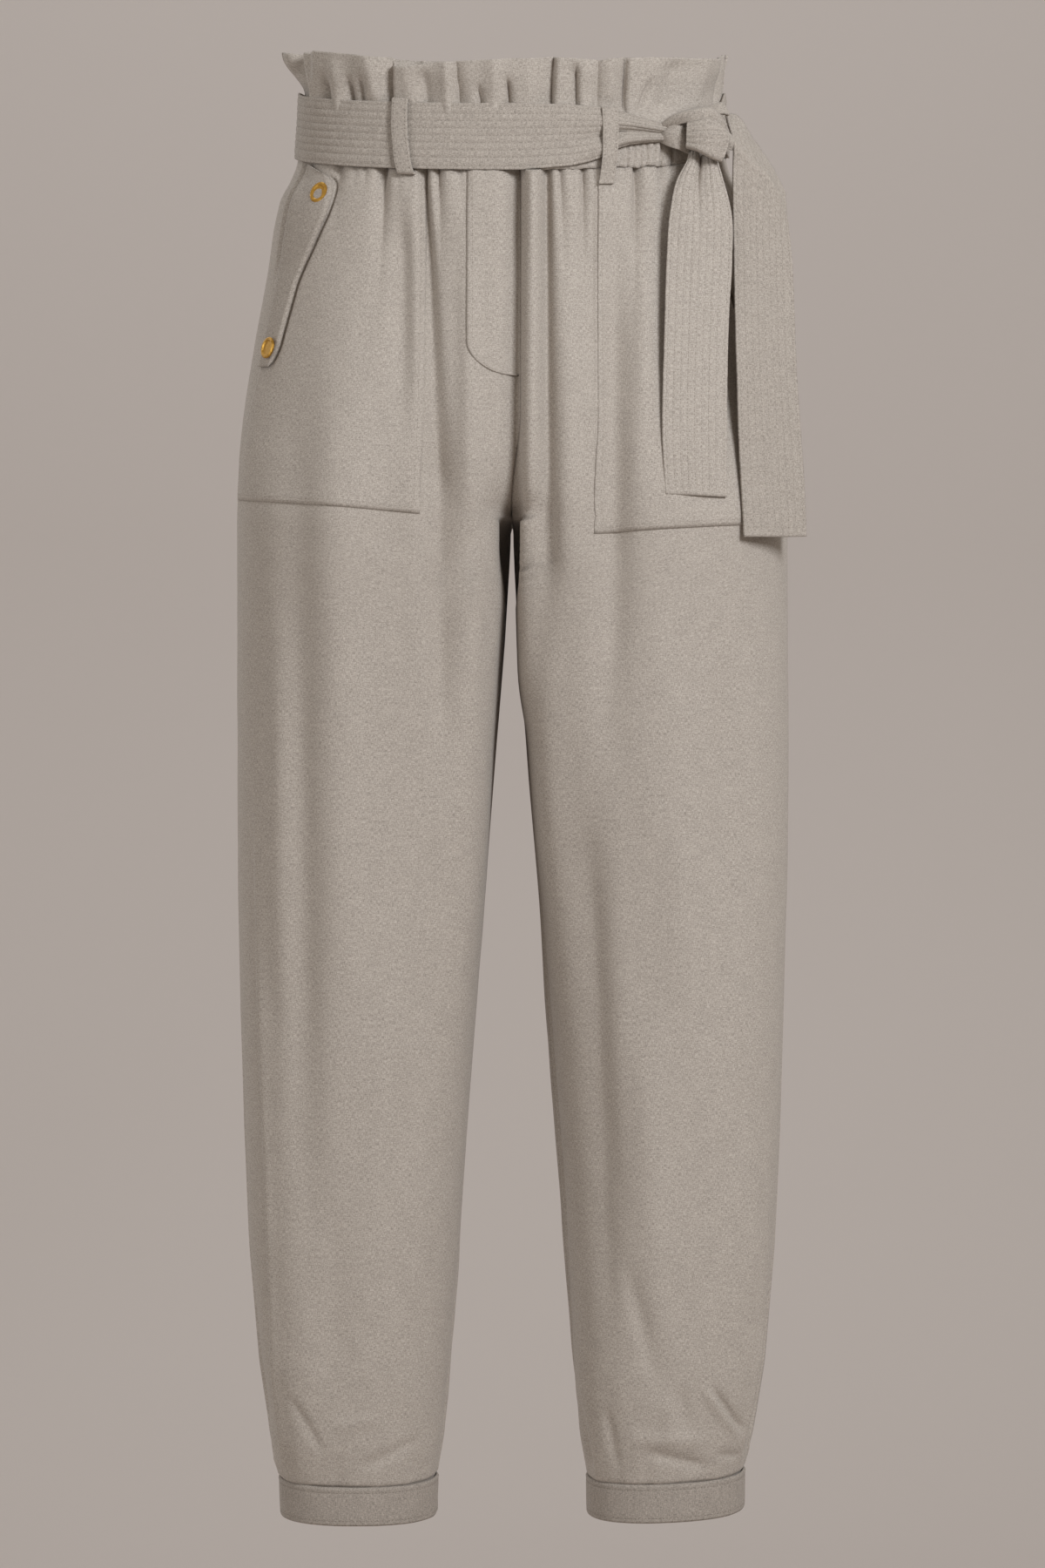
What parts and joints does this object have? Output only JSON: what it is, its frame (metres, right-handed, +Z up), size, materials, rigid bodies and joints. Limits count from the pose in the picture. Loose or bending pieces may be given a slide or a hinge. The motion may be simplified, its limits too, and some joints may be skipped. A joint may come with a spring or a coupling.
{
  "type": "paperbag waist trousers",
  "caption": "Tapered paperbag waist trousers, filled out as worn, with a gathered ruffle, a tied fabric belt, snap pockets and turned cuffs.",
  "frame": {"origin": "centre of the waist, level with the middle of the belt at the side seams", "axes": "+Z up out of the waist, -Y the front of the trousers, +X the wearer's left"},
  "size_m": [0.3836, 0.2523, 1.0072],
  "materials": {
    "cloth": "matt woven linen blend, pale greige",
    "trim": "the same cloth, stitched in rows",
    "brass": "satin"
  },
  "bodies": {
    "root": {"front_right": "cloth", "front_left": "cloth", "back_right": "cloth", "back_left": "cloth", "waistband_front": "cloth", "waistband_back": "cloth", "fly_placket": "cloth", "pocket_right": "cloth", "pocket_left": "cloth", "facing_right": "trim", "facing_left": "trim", "snap_right_upper": "brass", "snap_right_lower": "brass", "snap_left_upper": "brass", "snap_left_lower": "brass", "loop_front_right": "trim", "loop_front_left": "trim", "loop_back_right": "trim", "loop_back_left": "trim", "belt_band": "trim", "belt_knot_over": "trim", "belt_knot_wrap": "trim", "belt_tail_front": "trim", "belt_tail_side": "trim", "cuff_right": "cloth", "cuff_left": "cloth"}
  },
  "joints": []
}
